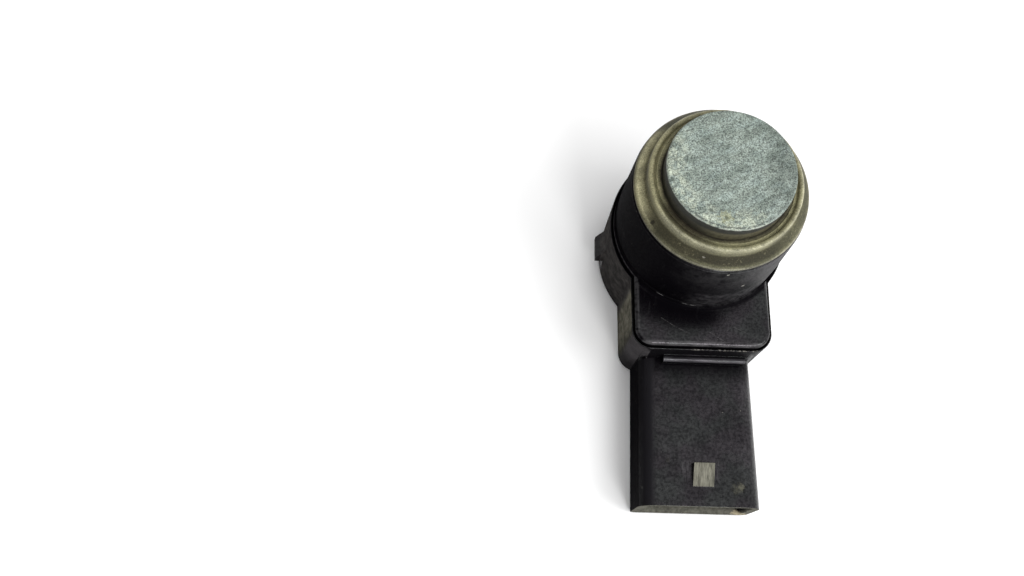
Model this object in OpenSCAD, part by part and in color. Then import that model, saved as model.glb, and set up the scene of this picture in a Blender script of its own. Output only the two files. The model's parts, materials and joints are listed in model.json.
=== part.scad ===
// Ultrasonic parking sensor: a barrel with a round membrane on a flat-backed
// housing, and a plug socket at its side.
// The barrel's axis is Z, the back lies on Z = 0, the membrane faces +Z and the
// socket's mouth faces -Y.

/* [Transducer] */
// Diameter of the aluminium cup, whose closed end is the membrane
cup_d = 15.5; // [14.5:0.1:16.5]
// Length of the cup
cup_len = 9; // [8:0.1:10]
// Thickness of the membrane
membrane_t = 0.9; // [0.6:0.1:1.2]
// Thickness of the cup's side wall
cup_wall = 1; // [0.8:0.1:1.3]
// How far the flange at the cup's open end stands out
cup_flange_w = 0.7; // [0.4:0.1:0.9]
// Thickness of the cup's flange
cup_flange_t = 1.2; // [0.8:0.1:1.6]
// Rounding of the membrane's edge
cup_edge = 0.25; // [0.1:0.05:0.4]
// Diameter of the piezo disc behind the membrane
piezo_d = 8; // [7:0.1:9]
// Thickness of the piezo disc
piezo_t = 0.6; // [0.4:0.1:0.8]
// Thickness of the felt behind the piezo disc
felt_t = 2; // [1.5:0.1:2.5]
// Diameter of the insulated leads of the transducer
lead_d = 0.8; // [0.6:0.05:1]

/* [Decoupling ring] */
// Thickness of the silicone ring between the cup and the barrel
ring_t = 1.6; // [1.5:0.05:1.9]
// Height of the ring's collar above the barrel's rim
collar_h = 2.7; // [2.3:0.05:3.1]
// How far the collar stands out beyond the sleeve in the barrel
collar_out = 0.05; // [0.02:0.01:0.1]
// Rounding of the collar's outer crest
crest_round = 0.34; // [0.24:0.02:0.36]
// Distance of the small inner ridge from the cup
ridge_gap = 0.6; // [0.5:0.02:0.62]
// Rounding of the small inner ridge
ridge_round = 0.14; // [0.1:0.02:0.16]
// Rounding of the lip that lies on the barrel's rim
lip_round = 0.28; // [0.2:0.02:0.34]
// Slope of the lip up to the collar, in degrees
lip_slope = 44; // [36:1:50]
// Fillet between the lip and the collar
lip_fillet = 0.5; // [0.3:0.05:0.7]

/* [Barrel] */
// Wall of the barrel at its seat
barrel_wall = 1.8; // [1.6:0.1:2.2]
// Height of the barrel above the cover plate
barrel_h = 11.8; // [11:0.1:13]
// Height of the straight seat's upper end above the cover plate
seat_h = 4.4; // [3:0.1:6]
// How far the barrel's foot stands out below the seat
foot_step = 0.2; // [0.18:0.01:0.25]
// How much the barrel's radius shrinks from the seat to the rim
barrel_taper = 0.25; // [0.15:0.05:0.5]
// Rounding of the barrel's rim
rim_round = 0.55; // [0.3:0.05:0.7]
// Fillet between the barrel and the cover plate
foot_fillet = 0.5; // [0.3:0.05:0.8]
// How far the membrane stands above the barrel's rim
cup_stand = 5.6; // [5.2:0.1:6]
// Thickness of the partition that carries the ring and the foam
partition_t = 1.5; // [1.2:0.1:2]
// Height of the partition's underside above the cover plate
partition_lift = 2.9; // [2.5:0.1:3.2]

/* [Housing] */
// Width of the rear housing beside the barrel
block_w = 18.3; // [17.5:0.1:19.5]
// Distance from the barrel's axis to the rear housing's front wall
block_front = 16.95; // [16.5:0.05:18]
// Radius of the rear housing's upright front corners
block_corner = 2.6; // [2.2:0.1:3.4]
// Height of the rear housing's rim
tub_h = 12.8; // [12.5:0.1:13.5]
// Side wall of the rear housing
tub_wall = 1.6; // [1.4:0.1:1.8]
// Thickness of the back wall
back_t = 1.6; // [1.2:0.1:2]
// Chamfer around the back
back_chamfer = 0.8; // [0.4:0.1:1.2]
// Height of the cover plate above the rear housing's rim
plate_lift = 0.8; // [0.5:0.1:1]
// Thickness of the cover plate's edge
plate_edge_t = 1.1; // [0.9:0.1:1.2]
// Rounding of the cover plate's upper edge
plate_round = 0.45; // [0.2:0.05:0.6]
// Thickness of the cover plate
plate_t = 1.8; // [1.5:0.1:2.1]
// Width of the parting groove between the two housings, seen from above
groove_w = 0.38; // [0.3:0.02:0.5]
// Depth of the parting groove under the rear housing's rim
groove_depth = 1.4; // [1.2:0.1:1.6]
// How far the neck under the cover plate stands in from the wall
neck_inset = 0.9; // [0.8:0.05:1.1]
// Flat left on top of the rear housing's rim
rim_flat = 0.12; // [0.1:0.01:0.2]
// Depth of the skirt inside the rear housing
skirt_h = 1.4; // [1:0.1:1.6]
// Thickness of the skirt
skirt_t = 0.9; // [0.8:0.1:1.1]

/* [Snap lugs] */
// Width of a snap lug
lug_w = 3.2; // [2.4:0.1:4.2]
// How far a snap lug stands out
lug_out = 1; // [0.7:0.1:1.4]
// Height of the catch face above the back
lug_z = 3.6; // [2.5:0.1:4.5]
// Height of the lug's upright land
lug_land = 1.2; // [0.8:0.1:1.6]
// Length of the lug's ramp above the land
lug_ramp = 3.4; // [2.6:0.1:4]

/* [Connector] */
// Width of the shroud where it leaves the housing
shroud_root_w = 15; // [14.4:0.1:15.6]
// Width of the shroud at its mouth
shroud_mouth_w = 15.7; // [15:0.1:16.4]
// Height of the shroud
shroud_h = 9; // [8.6:0.1:9.4]
// Length of the shroud in front of the housing
shroud_len = 19.35; // [18:0.05:21]
// Wall of the shroud at its root
shroud_wall = 1.3; // [1.1:0.1:1.5]
// Rounding of the shroud's upper edges
shroud_top_r = 2.4; // [1.6:0.1:2.6]
// Rounding of the shroud's lower edges
shroud_low_r = 1; // [0.6:0.1:1.6]
// Rounding of the socket's corners
socket_r = 0.8; // [0.4:0.1:1.2]
// Thickness of the socket's floor in front of the housing
socket_floor = 1.6; // [1.2:0.1:2.4]
// Lead-in chamfer at the mouth
mouth_chamfer = 0.5; // [0.3:0.05:0.7]
// Width of the coding rib on the socket's lower wall
code_rib_w = 1.6; // [1:0.1:2.4]
// Height of the coding rib
code_rib_h = 0.8; // [0.5:0.1:1]
// Place of the latch ramp's middle across the shroud
latch_x = 0.25; // [-1:0.05:1]
// Width of the latch ramp
latch_w = 2.7; // [2:0.1:4]
// Length of the latch ramp
latch_len = 2.9; // [2.2:0.1:4]
// Height of the latch ramp at its catch face
latch_h = 1.2; // [0.8:0.1:1.6]
// Distance of the catch face from the mouth
latch_back = 5.35; // [4.6:0.05:7]
// Left end of the plug stop
stop_left = -4.6; // [-6:0.1:-3]
// Right end of the plug stop
stop_right = 6.2; // [4:0.1:6.4]
// How far the plug stop stands out from the housing
stop_out = 0.85; // [0.6:0.05:1.2]
// Height of the plug stop above the shroud
stop_h = 1.3; // [0.9:0.1:1.6]
// Rounding of the plug stop's upper edge
stop_round = 0.3; // [0.1:0.05:0.4]

/* [Terminals] */
// Spacing of the three terminals
pin_pitch = 3.6; // [3.2:0.1:4]
// Width of a terminal blade
pin_w = 1.2; // [0.8:0.1:1.4]
// Thickness of a terminal blade
pin_t = 0.6; // [0.5:0.05:0.8]
// Distance from the mouth to the terminals' tips
pin_setback = 9; // [7:0.1:10]
// Length of the bevel at a terminal's tip
pin_bevel = 0.8; // [0.4:0.1:1.2]
// Distance of the upright legs from the front wall's inner face
pin_inset = 2.35; // [2:0.05:2.8]
// Height of the legs above the board
pin_stub = 0.8; // [0.6:0.1:1]

/* [Circuit board] */
// Thickness of the board
board_t = 1.2; // [1:0.1:1.6]
// Depth of the board's underside below the rear housing's rim
board_drop = 5.4; // [5.2:0.1:5.9]
// Gap between the board and the housing's wall
board_gap = 0.3; // [0.2:0.05:0.5]
// Diameter of the board's support posts
post_d = 2; // [1.6:0.1:2.2]
// Diameter of the pegs that locate the board
peg_d = 1.2; // [1:0.1:1.3]
// Height of the pegs above the board
peg_stub = 0.4; // [0.2:0.1:0.8]
// Diameter of the transformer's flanges
coil_d = 7.2; // [6:0.1:7.6]
// Height of the transformer
coil_h = 6; // [5:0.1:6.5]
// Thickness of the transformer's flanges
coil_flange_t = 1; // [0.8:0.1:1.4]
// Diameter of the transformer's spool
coil_core_d = 3.6; // [3:0.1:4]
// Depth of the winding below the flanges' edge
coil_winding_inset = 0.3; // [0.1:0.05:0.6]

/* [Clearances] */
// Clearance between round pieces that slide into each other
fit_gap = 0.05; // [0.03:0.01:0.08]
// Clearance around the skirt, the pegs and the leads
loose_gap = 0.1; // [0.06:0.01:0.14]

/* [Hidden] */

$fn = 96;
hull_fn = 32;
arc_steps = 8;
over = 0.5;
inner_corner = 0.5;

black_plastic = [0.09, 0.09, 0.11];
aged_silicone = [0.46, 0.43, 0.29];
grey_coat = [0.55, 0.59, 0.58];

// Radii about the barrel's axis
cup_r = cup_d / 2;
cup_bore_r = cup_r - cup_wall;
cup_flange_r = cup_r + cup_flange_w;
foam_r = cup_r + cup_flange_w / 3;
ring_r = cup_r + ring_t;
bore_r = ring_r + fit_gap;
barrel_r = bore_r + barrel_wall;
barrel_top_r = barrel_r - barrel_taper;
foot_r = barrel_r + foot_step;
tub_r = foot_r + groove_w;
lip_r = barrel_top_r - lip_round / 2;
collar_r = ring_r + collar_out;
ridge_r = cup_r + ridge_gap;

// Heights above the back
rim_seat_z = tub_h - groove_depth;
plate_z = tub_h + plate_lift;
plate_low_z = plate_z - plate_edge_t;
plate_under_z = plate_z - plate_t;
foot_top_z = plate_z + foot_fillet;
seat_top_z = plate_z + seat_h;
partition_z = plate_z + partition_lift;
ring_seat_z = partition_z + partition_t;
barrel_top_z = plate_z + barrel_h;
shelf_z = barrel_top_z + collar_h;
face_z = barrel_top_z + cup_stand;
cup_back_z = face_z - cup_len;
cup_floor_z = face_z - membrane_t;
piezo_back_z = cup_floor_z - piezo_t;
felt_back_z = piezo_back_z - felt_t;
board_z = tub_h - board_drop;
board_top_z = board_z + board_t;
pin_z = shroud_h / 2;

// Distances in front of the barrel's axis
mouth_y = block_front + shroud_len;
socket_floor_y = block_front + socket_floor;
leg_y = block_front - tub_wall - pin_inset;
tip_y = mouth_y - pin_setback;

// Socket, posts and leads
socket_w = shroud_root_w - 2 * shroud_wall;
board_inset = tub_wall + board_gap;
skirt_inset = tub_wall + loose_gap;
cavity_inset = skirt_inset + skirt_t;
post_edge = 0.25;
post_x = block_w / 2 - board_inset - post_edge - post_d / 2;
post_back = 2.2;
post_y = [post_back - leg_y, barrel_r / 2];
lead_r = lead_d / 2;
signal_lead_at = [1, -2.6];
ground_lead_at = [-(cup_r - cup_wall / 2), 0];
coil_at = [0, 3.2];
coil_r = coil_d / 2;

// Places and sizes of the small pieces on the board, of which the chip, the
// diode and the buffer capacitor keep their distance from the terminals' legs
chip_back = 5.8;
chip_at = [-3.2, chip_back - leg_y];
chip_size = [4, 5, 1.4];
chip_lift = 0.1;
chip_leg_len = 1;
chip_leg_w = 0.4;
chip_leg_t = 0.2;
chip_leg_pitch = 1.27;
capacitor_back = 7.6;
capacitor_at = [3.6, capacitor_back - leg_y];
capacitor_size = [3.5, 2.8, 1.9];
diode_back = 4.6;
diode_at = [3.1, diode_back - leg_y];
diode_size = [4.2, 2.6, 2];
ceramic_size = [1.6, 0.8, 0.8];
ceramic_x = -5;
ceramic_row = [-1.8, 0.2, 2.2];
resistor_size = [1.6, 0.8, 0.45];
resistor_x = 5;
resistor_row = [-1.8, -0.3, 1.2, 2.7];
solder_foot_r = 0.95;
solder_top_r = 0.75;
solder_h = 0.6;

// Points of an arc from one angle to another
function arc(centre, r, from, to) = [
    for (i = [0:arc_steps])
        let (a = from + (to - from) * i / arc_steps)
        centre + r * [cos(a), sin(a)]
];

// Inset of the parting groove's slope at a height
function rim_inset(z) =
    rim_flat + (tub_h - z) * (neck_inset - fit_gap - rim_flat) / (tub_h - rim_seat_z);

// Plan of the block beside the barrel, drawn in from the rear housing's outside
module block_outline(inset) {
    half = block_w / 2 - inset;
    front = block_front - inset;
    corner = max(block_corner - inset, inner_corner);
    translate([-half, corner - front])
        square([2 * half, front - corner]);
    translate([corner - half, -front])
        square([2 * (half - corner), front]);
    for (side = [-1, 1])
        translate([side * (half - corner), corner - front])
            circle(r = corner);
}

// Plan of the whole housing, drawn in from the rear housing's outside
module body_outline(inset) {
    circle(r = tub_r - inset);
    block_outline(inset);
}

// Extrudes a plan upwards between two heights
module rise(from, to) {
    translate([0, 0, from])
        linear_extrude(to - from)
            children();
}

// Extrudes an X-Z outline along -Y between two distances in front of the axis
module reach(from, to) {
    translate([0, -from, 0])
        rotate([90, 0, 0])
            linear_extrude(to - from)
                children();
}

// Extrudes a Y-Z outline along X, centred on a place
module across(width, x = 0) {
    translate([x - width / 2, 0, 0])
        rotate([90, 0, 90])
            linear_extrude(width)
                children();
}

// Round hole or rod on an upright axis between two heights
module upright(at, r, from, to) {
    translate([at[0], at[1], from])
        cylinder(r = r, h = to - from);
}

// Block beside the barrel whose outer edge follows a list of [inset, height]
// points, from the lowest to the highest, along both sides and the front
module profiled_block(edge) {
    low = edge[0][1];
    high = edge[len(edge) - 1][1];
    half = block_w / 2;
    centre_x = half - block_corner;
    centre_y = block_front - block_corner;
    right = [for (p = edge) [half - p[0], p[1]]];
    left = [for (i = [len(edge) - 1:-1:0]) [edge[i][0] - half, edge[i][1]]];
    across(2 * centre_x)
        polygon(concat([for (p = edge) [p[0] - block_front, p[1]]], [[0, high], [0, low]]));
    reach(0, centre_y)
        polygon(concat(right, left));
    for (side = [-1, 1])
        translate([side * centre_x, -centre_y, 0])
            rotate_extrude()
                polygon(concat([[0, low]], [for (p = edge) [block_corner - p[0], p[1]]], [[0, high]]));
}

// Box that stands on the board
module on_board(at, size, lift = 0) {
    translate([at[0] - size[0] / 2, at[1] - size[1] / 2, board_top_z + lift])
        cube(size);
}

module barrel_body() {
    rotate_extrude()
        polygon(concat(
            [
                [0, plate_low_z], [foot_r, plate_low_z], [foot_r, foot_top_z],
                [barrel_r, foot_top_z], [barrel_r, seat_top_z]
            ],
            arc([barrel_top_r - rim_round, barrel_top_z - rim_round], rim_round, 0, 90),
            [[0, barrel_top_z]]
        ));
}

module foot_fillet_ring() {
    intersection() {
        rotate_extrude()
            polygon(concat(
                [[foot_r - over, plate_low_z], [foot_r + foot_fillet, plate_low_z]],
                arc([foot_r + foot_fillet, foot_top_z], foot_fillet, 270, 180),
                [[foot_r - over, foot_top_z]]
            ));
        rise(plate_low_z, foot_top_z)
            block_outline(groove_w + plate_round);
    }
}

module cover_plate() {
    profiled_block(concat(
        [[groove_w, plate_low_z]],
        arc([groove_w + plate_round, plate_z - plate_round], plate_round, 180, 90)
    ));
    rise(rim_seat_z, plate_low_z + over)
        body_outline(neck_inset);
    rise(rim_seat_z - skirt_h, rim_seat_z + over)
        body_outline(skirt_inset);
}

module front_housing() {
    color(black_plastic)
        difference() {
            union() {
                barrel_body();
                foot_fillet_ring();
                cover_plate();
            }
            rise(rim_seat_z - skirt_h - over, plate_under_z)
                body_outline(cavity_inset);
            upright([0, 0], tub_r - cavity_inset, plate_under_z - over, partition_z);
            upright([0, 0], bore_r, ring_seat_z, barrel_top_z + over);
            for (at = [signal_lead_at, ground_lead_at])
                upright(at, lead_r + loose_gap, partition_z - over, ring_seat_z + over);
        }
}

module tub_body() {
    rotate_extrude()
        polygon([
            [0, 0], [tub_r - back_chamfer, 0], [tub_r, back_chamfer], [tub_r, tub_h], [0, tub_h]
        ]);
    profiled_block([[back_chamfer, 0], [0, back_chamfer], [0, tub_h]]);
}

// What the parting groove takes from the rim's inner edge
module rim_funnel() {
    top = tub_h + over;
    rotate_extrude()
        polygon([
            [0, rim_seat_z], [tub_r - rim_inset(rim_seat_z), rim_seat_z],
            [tub_r - rim_inset(top), top], [0, top]
        ]);
    profiled_block([[rim_inset(rim_seat_z), rim_seat_z], [rim_inset(top), top]]);
}

module shroud_outline(width) {
    hull() {
        for (side = [-1, 1]) {
            translate([side * (width / 2 - shroud_low_r), shroud_low_r])
                circle(r = shroud_low_r, $fn = hull_fn);
            translate([side * (width / 2 - shroud_top_r), shroud_h - shroud_top_r])
                circle(r = shroud_top_r, $fn = hull_fn);
        }
    }
}

module shroud_body() {
    hull() {
        reach(block_front - tub_wall / 2, block_front)
            shroud_outline(shroud_root_w);
        reach(mouth_y - mouth_chamfer, mouth_y)
            shroud_outline(shroud_mouth_w);
    }
}

// Mouth outline of the socket, grown evenly on all sides
module socket_outline(grow) {
    half = socket_w / 2 + grow;
    low = shroud_wall - grow;
    high = shroud_h - shroud_wall + grow;
    translate([-half, low + socket_r])
        square([2 * half, high - low - 2 * socket_r]);
    translate([socket_r - half, low])
        square([2 * (half - socket_r), high - low]);
    for (x = [-1, 1])
        for (z = [low + socket_r, high - socket_r])
            translate([x * (half - socket_r), z])
                circle(r = socket_r);
}

module socket_hollow() {
    reach(socket_floor_y, mouth_y + over)
        socket_outline(0);
    hull() {
        reach(mouth_y - 2 * mouth_chamfer, mouth_y - mouth_chamfer * 1.5)
            socket_outline(-mouth_chamfer / 2, $fn = hull_fn);
        reach(mouth_y + over, mouth_y + 2 * over)
            socket_outline(mouth_chamfer + over, $fn = hull_fn);
    }
}

module snap_lug(side) {
    flip = side < 0 ? 1 : 0;
    mirror([flip, 0, 0])
        translate([0, lug_w / 2, 0])
            rotate([90, 0, 0])
                linear_extrude(lug_w)
                    polygon([
                        [tub_r - tub_wall / 2, lug_z],
                        [tub_r + lug_out, lug_z],
                        [tub_r + lug_out, lug_z + lug_land],
                        [tub_r - tub_wall / 4, lug_z + lug_land + lug_ramp],
                        [tub_r - tub_wall / 2, lug_z + lug_land + lug_ramp]
                    ]);
}

module latch_ramp() {
    across(latch_w, latch_x)
        polygon([
            [latch_back - mouth_y, shroud_h - shroud_wall / 2],
            [latch_back - mouth_y, shroud_h + latch_h],
            [latch_back - mouth_y - latch_len, shroud_h],
            [latch_back - mouth_y - latch_len, shroud_h - shroud_wall / 2]
        ]);
}

module plug_stop() {
    front = -block_front - stop_out;
    root = tub_wall / 2 - block_front;
    low = shroud_h - shroud_wall / 2;
    high = shroud_h + stop_h;
    across(stop_right - stop_left, (stop_left + stop_right) / 2)
        polygon(concat(
            [[root, low], [front, low]],
            arc([front + stop_round, high - stop_round], stop_round, 180, 90),
            [[root, high]]
        ));
}

module board_posts() {
    for (side = [-1, 1])
        for (y = post_y) {
            upright([side * post_x, y], post_d / 2, back_t - over, board_z);
            upright([side * post_x, y], peg_d / 2, board_z - over, board_top_z + peg_stub);
        }
}

module rear_housing() {
    rib_len = mouth_y - socket_floor_y - 2 * mouth_chamfer + over;
    color(black_plastic) {
        difference() {
            union() {
                tub_body();
                shroud_body();
                latch_ramp();
                plug_stop();
                snap_lug(1);
                snap_lug(-1);
            }
            rise(back_t, tub_h + over)
                body_outline(tub_wall);
            rim_funnel();
            socket_hollow();
            for (i = [-1:1])
                translate([i * pin_pitch - pin_w / 2, -socket_floor_y - over, pin_z - pin_t / 2])
                    cube([pin_w, socket_floor + tub_wall + 2 * over, pin_t]);
        }
        board_posts();
        translate([-code_rib_w / 2, 2 * mouth_chamfer - mouth_y, shroud_wall / 2])
            cube([code_rib_w, rib_len, shroud_wall / 2 + code_rib_h]);
    }
}

module transducer_cup() {
    color(grey_coat)
        rotate_extrude()
            polygon(concat(
                [
                    [0, cup_floor_z], [cup_bore_r, cup_floor_z], [cup_bore_r, cup_back_z],
                    [cup_flange_r, cup_back_z], [cup_flange_r, cup_back_z + cup_flange_t],
                    [cup_r, cup_back_z + cup_flange_t]
                ],
                arc([cup_r - cup_edge, face_z - cup_edge], cup_edge, 0, 90),
                [[0, face_z]]
            ));
}

module piezo_disc() {
    color("wheat")
        upright([0, 0], piezo_d / 2, piezo_back_z, cup_floor_z);
}

// Soft disc inside the transducer, with a hole for the signal lead
module soft_disc(r, from, to) {
    difference() {
        upright([0, 0], r, from, to);
        upright(signal_lead_at, lead_r + loose_gap, from - over, to + over);
    }
}

module damping_felt() {
    color("lightgray")
        soft_disc(cup_bore_r - fit_gap, felt_back_z, piezo_back_z);
}

module cup_filling() {
    color("gainsboro")
        soft_disc(cup_bore_r - fit_gap, cup_back_z, felt_back_z);
}

module backing_foam() {
    color("dimgray")
        difference() {
            soft_disc(foam_r, ring_seat_z, cup_back_z);
            upright(ground_lead_at, lead_r + loose_gap, ring_seat_z - over, cup_back_z + over);
        }
}

// Sleeve between the cup and the barrel, with a collar above the barrel's rim,
// a lip that lies on the rim and a groove that holds the cup's flange
module decoupling_ring() {
    flange_top_z = cup_back_z + cup_flange_t;
    groove_r = (collar_r - 2 * crest_round - ridge_r - ridge_round) / 2;
    lip_centre = [lip_r - lip_round, barrel_top_z + lip_round];
    fillet_x = collar_r + lip_fillet;
    tangent = lip_round + lip_fillet + (lip_centre[0] - fillet_x) * sin(lip_slope);
    fillet_centre = [fillet_x, lip_centre[1] + tangent / cos(lip_slope)];
    color(aged_silicone)
        rotate_extrude()
            polygon(concat(
                [
                    [foam_r + fit_gap, ring_seat_z], [ring_r, ring_seat_z], [ring_r, barrel_top_z]
                ],
                arc(lip_centre, lip_round, -90, 90 - lip_slope),
                arc(fillet_centre, lip_fillet, 270 - lip_slope, 180),
                arc([collar_r - crest_round, shelf_z], crest_round, 0, 180),
                arc([ridge_r + ridge_round + groove_r, shelf_z], groove_r, 0, -180),
                arc([ridge_r, shelf_z], ridge_round, 0, 180),
                [
                    [cup_r + fit_gap, shelf_z],
                    [cup_r + fit_gap, flange_top_z],
                    [cup_flange_r + fit_gap, flange_top_z],
                    [cup_flange_r + fit_gap, cup_back_z],
                    [foam_r + fit_gap, cup_back_z]
                ]
            ));
}

module signal_lead() {
    color("firebrick")
        upright(signal_lead_at, lead_r, board_top_z, piezo_back_z);
}

module ground_lead() {
    color("black")
        upright(ground_lead_at, lead_r, board_top_z, cup_back_z);
}

module circuit_board() {
    slot_w = pin_w + 2 * fit_gap;
    slot_t = pin_t + 2 * fit_gap;
    color("darkgreen")
        difference() {
            rise(board_z, board_top_z)
                body_outline(board_inset);
            for (i = [-1:1])
                translate([i * pin_pitch - slot_w / 2, -leg_y - slot_t / 2, board_z - over])
                    cube([slot_w, slot_t, board_t + 2 * over]);
            for (side = [-1, 1])
                for (y = post_y)
                    upright([side * post_x, y], peg_d / 2 + loose_gap, board_z - over, board_top_z + over);
        }
}

// Flat package with four gull-wing legs on each side
module driver_chip() {
    leg = [chip_leg_len, chip_leg_w, chip_leg_t];
    knee = [chip_leg_t, chip_leg_w, chip_lift + chip_size[2] / 2];
    color("dimgray") {
        on_board(chip_at, chip_size, chip_lift);
        for (side = [-1, 1])
            for (i = [-1.5:1.5]) {
                y = i * chip_leg_pitch;
                on_board(chip_at + [side * (chip_size[0] + chip_leg_len) / 2, y], leg);
                on_board(chip_at + [side * (chip_size[0] + chip_leg_t) / 2, y], knee);
            }
    }
}

module transformer_core() {
    color("darkslategray")
        translate([coil_at[0], coil_at[1], board_top_z])
            rotate_extrude()
                polygon([
                    [0, 0], [coil_r, 0], [coil_r, coil_flange_t],
                    [coil_core_d / 2, coil_flange_t], [coil_core_d / 2, coil_h - coil_flange_t],
                    [coil_r, coil_h - coil_flange_t], [coil_r, coil_h], [0, coil_h]
                ]);
}

module transformer_winding() {
    low = board_top_z + coil_flange_t;
    high = board_top_z + coil_h - coil_flange_t;
    color("peru")
        difference() {
            upright(coil_at, coil_r - coil_winding_inset, low, high);
            upright(coil_at, coil_core_d / 2 + fit_gap, low - over, high + over);
        }
}

module buffer_capacitor() {
    color("goldenrod")
        on_board(capacitor_at, capacitor_size);
}

module protection_diode() {
    color("black")
        on_board(diode_at, diode_size);
}

module ceramic_capacitors() {
    color("tan")
        for (y = ceramic_row)
            on_board([ceramic_x, y], ceramic_size);
}

module chip_resistors() {
    color("black")
        for (y = resistor_row)
            on_board([resistor_x, y], resistor_size);
}

// Collars of solder around the terminals' legs
module solder_joints() {
    color("silver")
        for (i = [-1:1])
            difference() {
                translate([i * pin_pitch, -leg_y, board_top_z])
                    cylinder(r1 = solder_foot_r, r2 = solder_top_r, h = solder_h);
                translate([i * pin_pitch - pin_w / 2, -leg_y - pin_t / 2, board_top_z - over])
                    cube([pin_w, pin_t, solder_h + 2 * over]);
            }
}

// Blade that runs from the socket through its floor and turns up into the board
module terminal(place) {
    half = pin_t / 2;
    nose = pin_t / 6;
    color("goldenrod")
        across(pin_w, place * pin_pitch)
            polygon([
                [-tip_y, pin_z - nose], [pin_bevel - tip_y, pin_z - half],
                [half - leg_y - pin_t, pin_z - half], [half - leg_y, pin_z + half],
                [half - leg_y, board_top_z + pin_stub], [-half - leg_y, board_top_z + pin_stub],
                [-half - leg_y, pin_z + half], [pin_bevel - tip_y, pin_z + half],
                [-tip_y, pin_z + nose]
            ]);
}

module terminal_left() {
    terminal(-1);
}

module terminal_centre() {
    terminal(0);
}

module terminal_right() {
    terminal(1);
}

front_housing();
rear_housing();
transducer_cup();
piezo_disc();
damping_felt();
cup_filling();
decoupling_ring();
backing_foam();
signal_lead();
ground_lead();
circuit_board();
driver_chip();
transformer_core();
transformer_winding();
buffer_capacitor();
protection_diode();
ceramic_capacitors();
chip_resistors();
solder_joints();
terminal_left();
terminal_centre();
terminal_right();
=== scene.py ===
import json
import math

import bmesh
import bpy
from mathutils import Matrix, Vector


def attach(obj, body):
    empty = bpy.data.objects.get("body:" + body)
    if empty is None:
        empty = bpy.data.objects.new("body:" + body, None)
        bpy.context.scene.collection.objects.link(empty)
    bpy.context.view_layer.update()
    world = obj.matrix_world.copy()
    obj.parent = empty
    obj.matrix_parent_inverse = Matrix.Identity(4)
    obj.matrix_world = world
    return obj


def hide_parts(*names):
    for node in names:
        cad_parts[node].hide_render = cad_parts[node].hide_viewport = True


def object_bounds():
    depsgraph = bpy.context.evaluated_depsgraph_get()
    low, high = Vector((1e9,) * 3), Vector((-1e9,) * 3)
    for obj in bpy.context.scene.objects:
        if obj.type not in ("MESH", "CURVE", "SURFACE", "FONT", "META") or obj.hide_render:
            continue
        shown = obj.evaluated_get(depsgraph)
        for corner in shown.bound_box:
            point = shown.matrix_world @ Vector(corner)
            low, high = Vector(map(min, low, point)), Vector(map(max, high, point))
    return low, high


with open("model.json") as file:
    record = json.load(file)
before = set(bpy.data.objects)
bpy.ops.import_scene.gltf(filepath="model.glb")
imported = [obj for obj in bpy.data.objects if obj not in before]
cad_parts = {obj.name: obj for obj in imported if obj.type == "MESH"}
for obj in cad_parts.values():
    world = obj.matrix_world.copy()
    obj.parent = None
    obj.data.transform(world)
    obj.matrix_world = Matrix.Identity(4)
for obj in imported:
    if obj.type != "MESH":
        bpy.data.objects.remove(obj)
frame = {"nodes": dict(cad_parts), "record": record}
cad_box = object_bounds()
slots = {s["node"]: s["material_slot"] for s in frame["record"]["subparts"]}

MM = 0.001

# Camera: its place, the point of the table that it looks at, its roll and its lens
CAMERA_AT = Vector((-29.0, -50.11, 129.49)) * MM
CAMERA_AIM = Vector((-24.345, -4.906, 0.0)) * MM
CAMERA_ROLL = math.radians(7.587)
LENS_MM = 33.25
SENSOR_MM = 36.0
NEAREST_SEEN = 1 * MM

# Lamps, aimed at the middle of the part: place and width in millimetres, and watts
LAMP_AIM = (0, -15, 12)
LAMPS = {
    "key": ((283, -140, 382), 220, 0.75),
    "front": ((110, -332, 358), 120, 0.7),
}

# Sky: its brightest direction, how its brightness grows towards that, and the white that the camera sees
SKY_SIDE = Vector((0.55, -0.15, 0.82)).normalized()
SKY_RANGE = {"From Min": 0.0, "From Max": 0.8, "To Min": 0.05, "To Max": 1.45}
BACKDROP = 1.0

# Floor: half its width in metres, its distance below the part, and its two whites
FLOOR_HALF = 2.0
FLOOR_GAP = 0.05 * MM
FLOOR_DULL = (0.95, 0.95, 0.95)
FLOOR_BRIGHT = (0.97, 0.97, 0.97)

# Faces of a piece that meet at less than this angle are shaded as one surface
SMOOTH_DEGREES = {"front_housing": 20, "rear_housing": 20, "transducer_cup": 30, "decoupling_ring": 40}

# Corners nearer than this are joined, and faces that bend less than this become one
JOIN_WITHIN = 1e-7
FLAT_WITHIN = math.radians(0.05)

# Levels of the part's faces and edges above its back, in millimetres
FACE_Z = cad_box[1][2] / MM
PLATE_Z = 13.6
BARREL_Z = PLATE_Z + 11.8
FOOT_Z = PLATE_Z + 0.5
RIM_Z = PLATE_Z - 0.8
SHROUD_Z = 9.0

# Front ends of the socket, block, plug stop and plate, the plate's left edge, and the latch ramp's face
MOUTH_Y = cad_box[0][1] / MM
BLOCK_Y = -16.95
STOP_Y = BLOCK_Y - 0.85
PLATE_Y = BLOCK_Y + 0.38
PLATE_X = -8.77
LATCH_X = (-1.06, 1.56)
LATCH_Y = (MOUTH_Y + 2.46, MOUTH_Y + 5.32)

# Radii of the tub and of the step at the barrel's foot
TUB_R = cad_box[1][1] / MM
FOOT_R = 11.4


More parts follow.
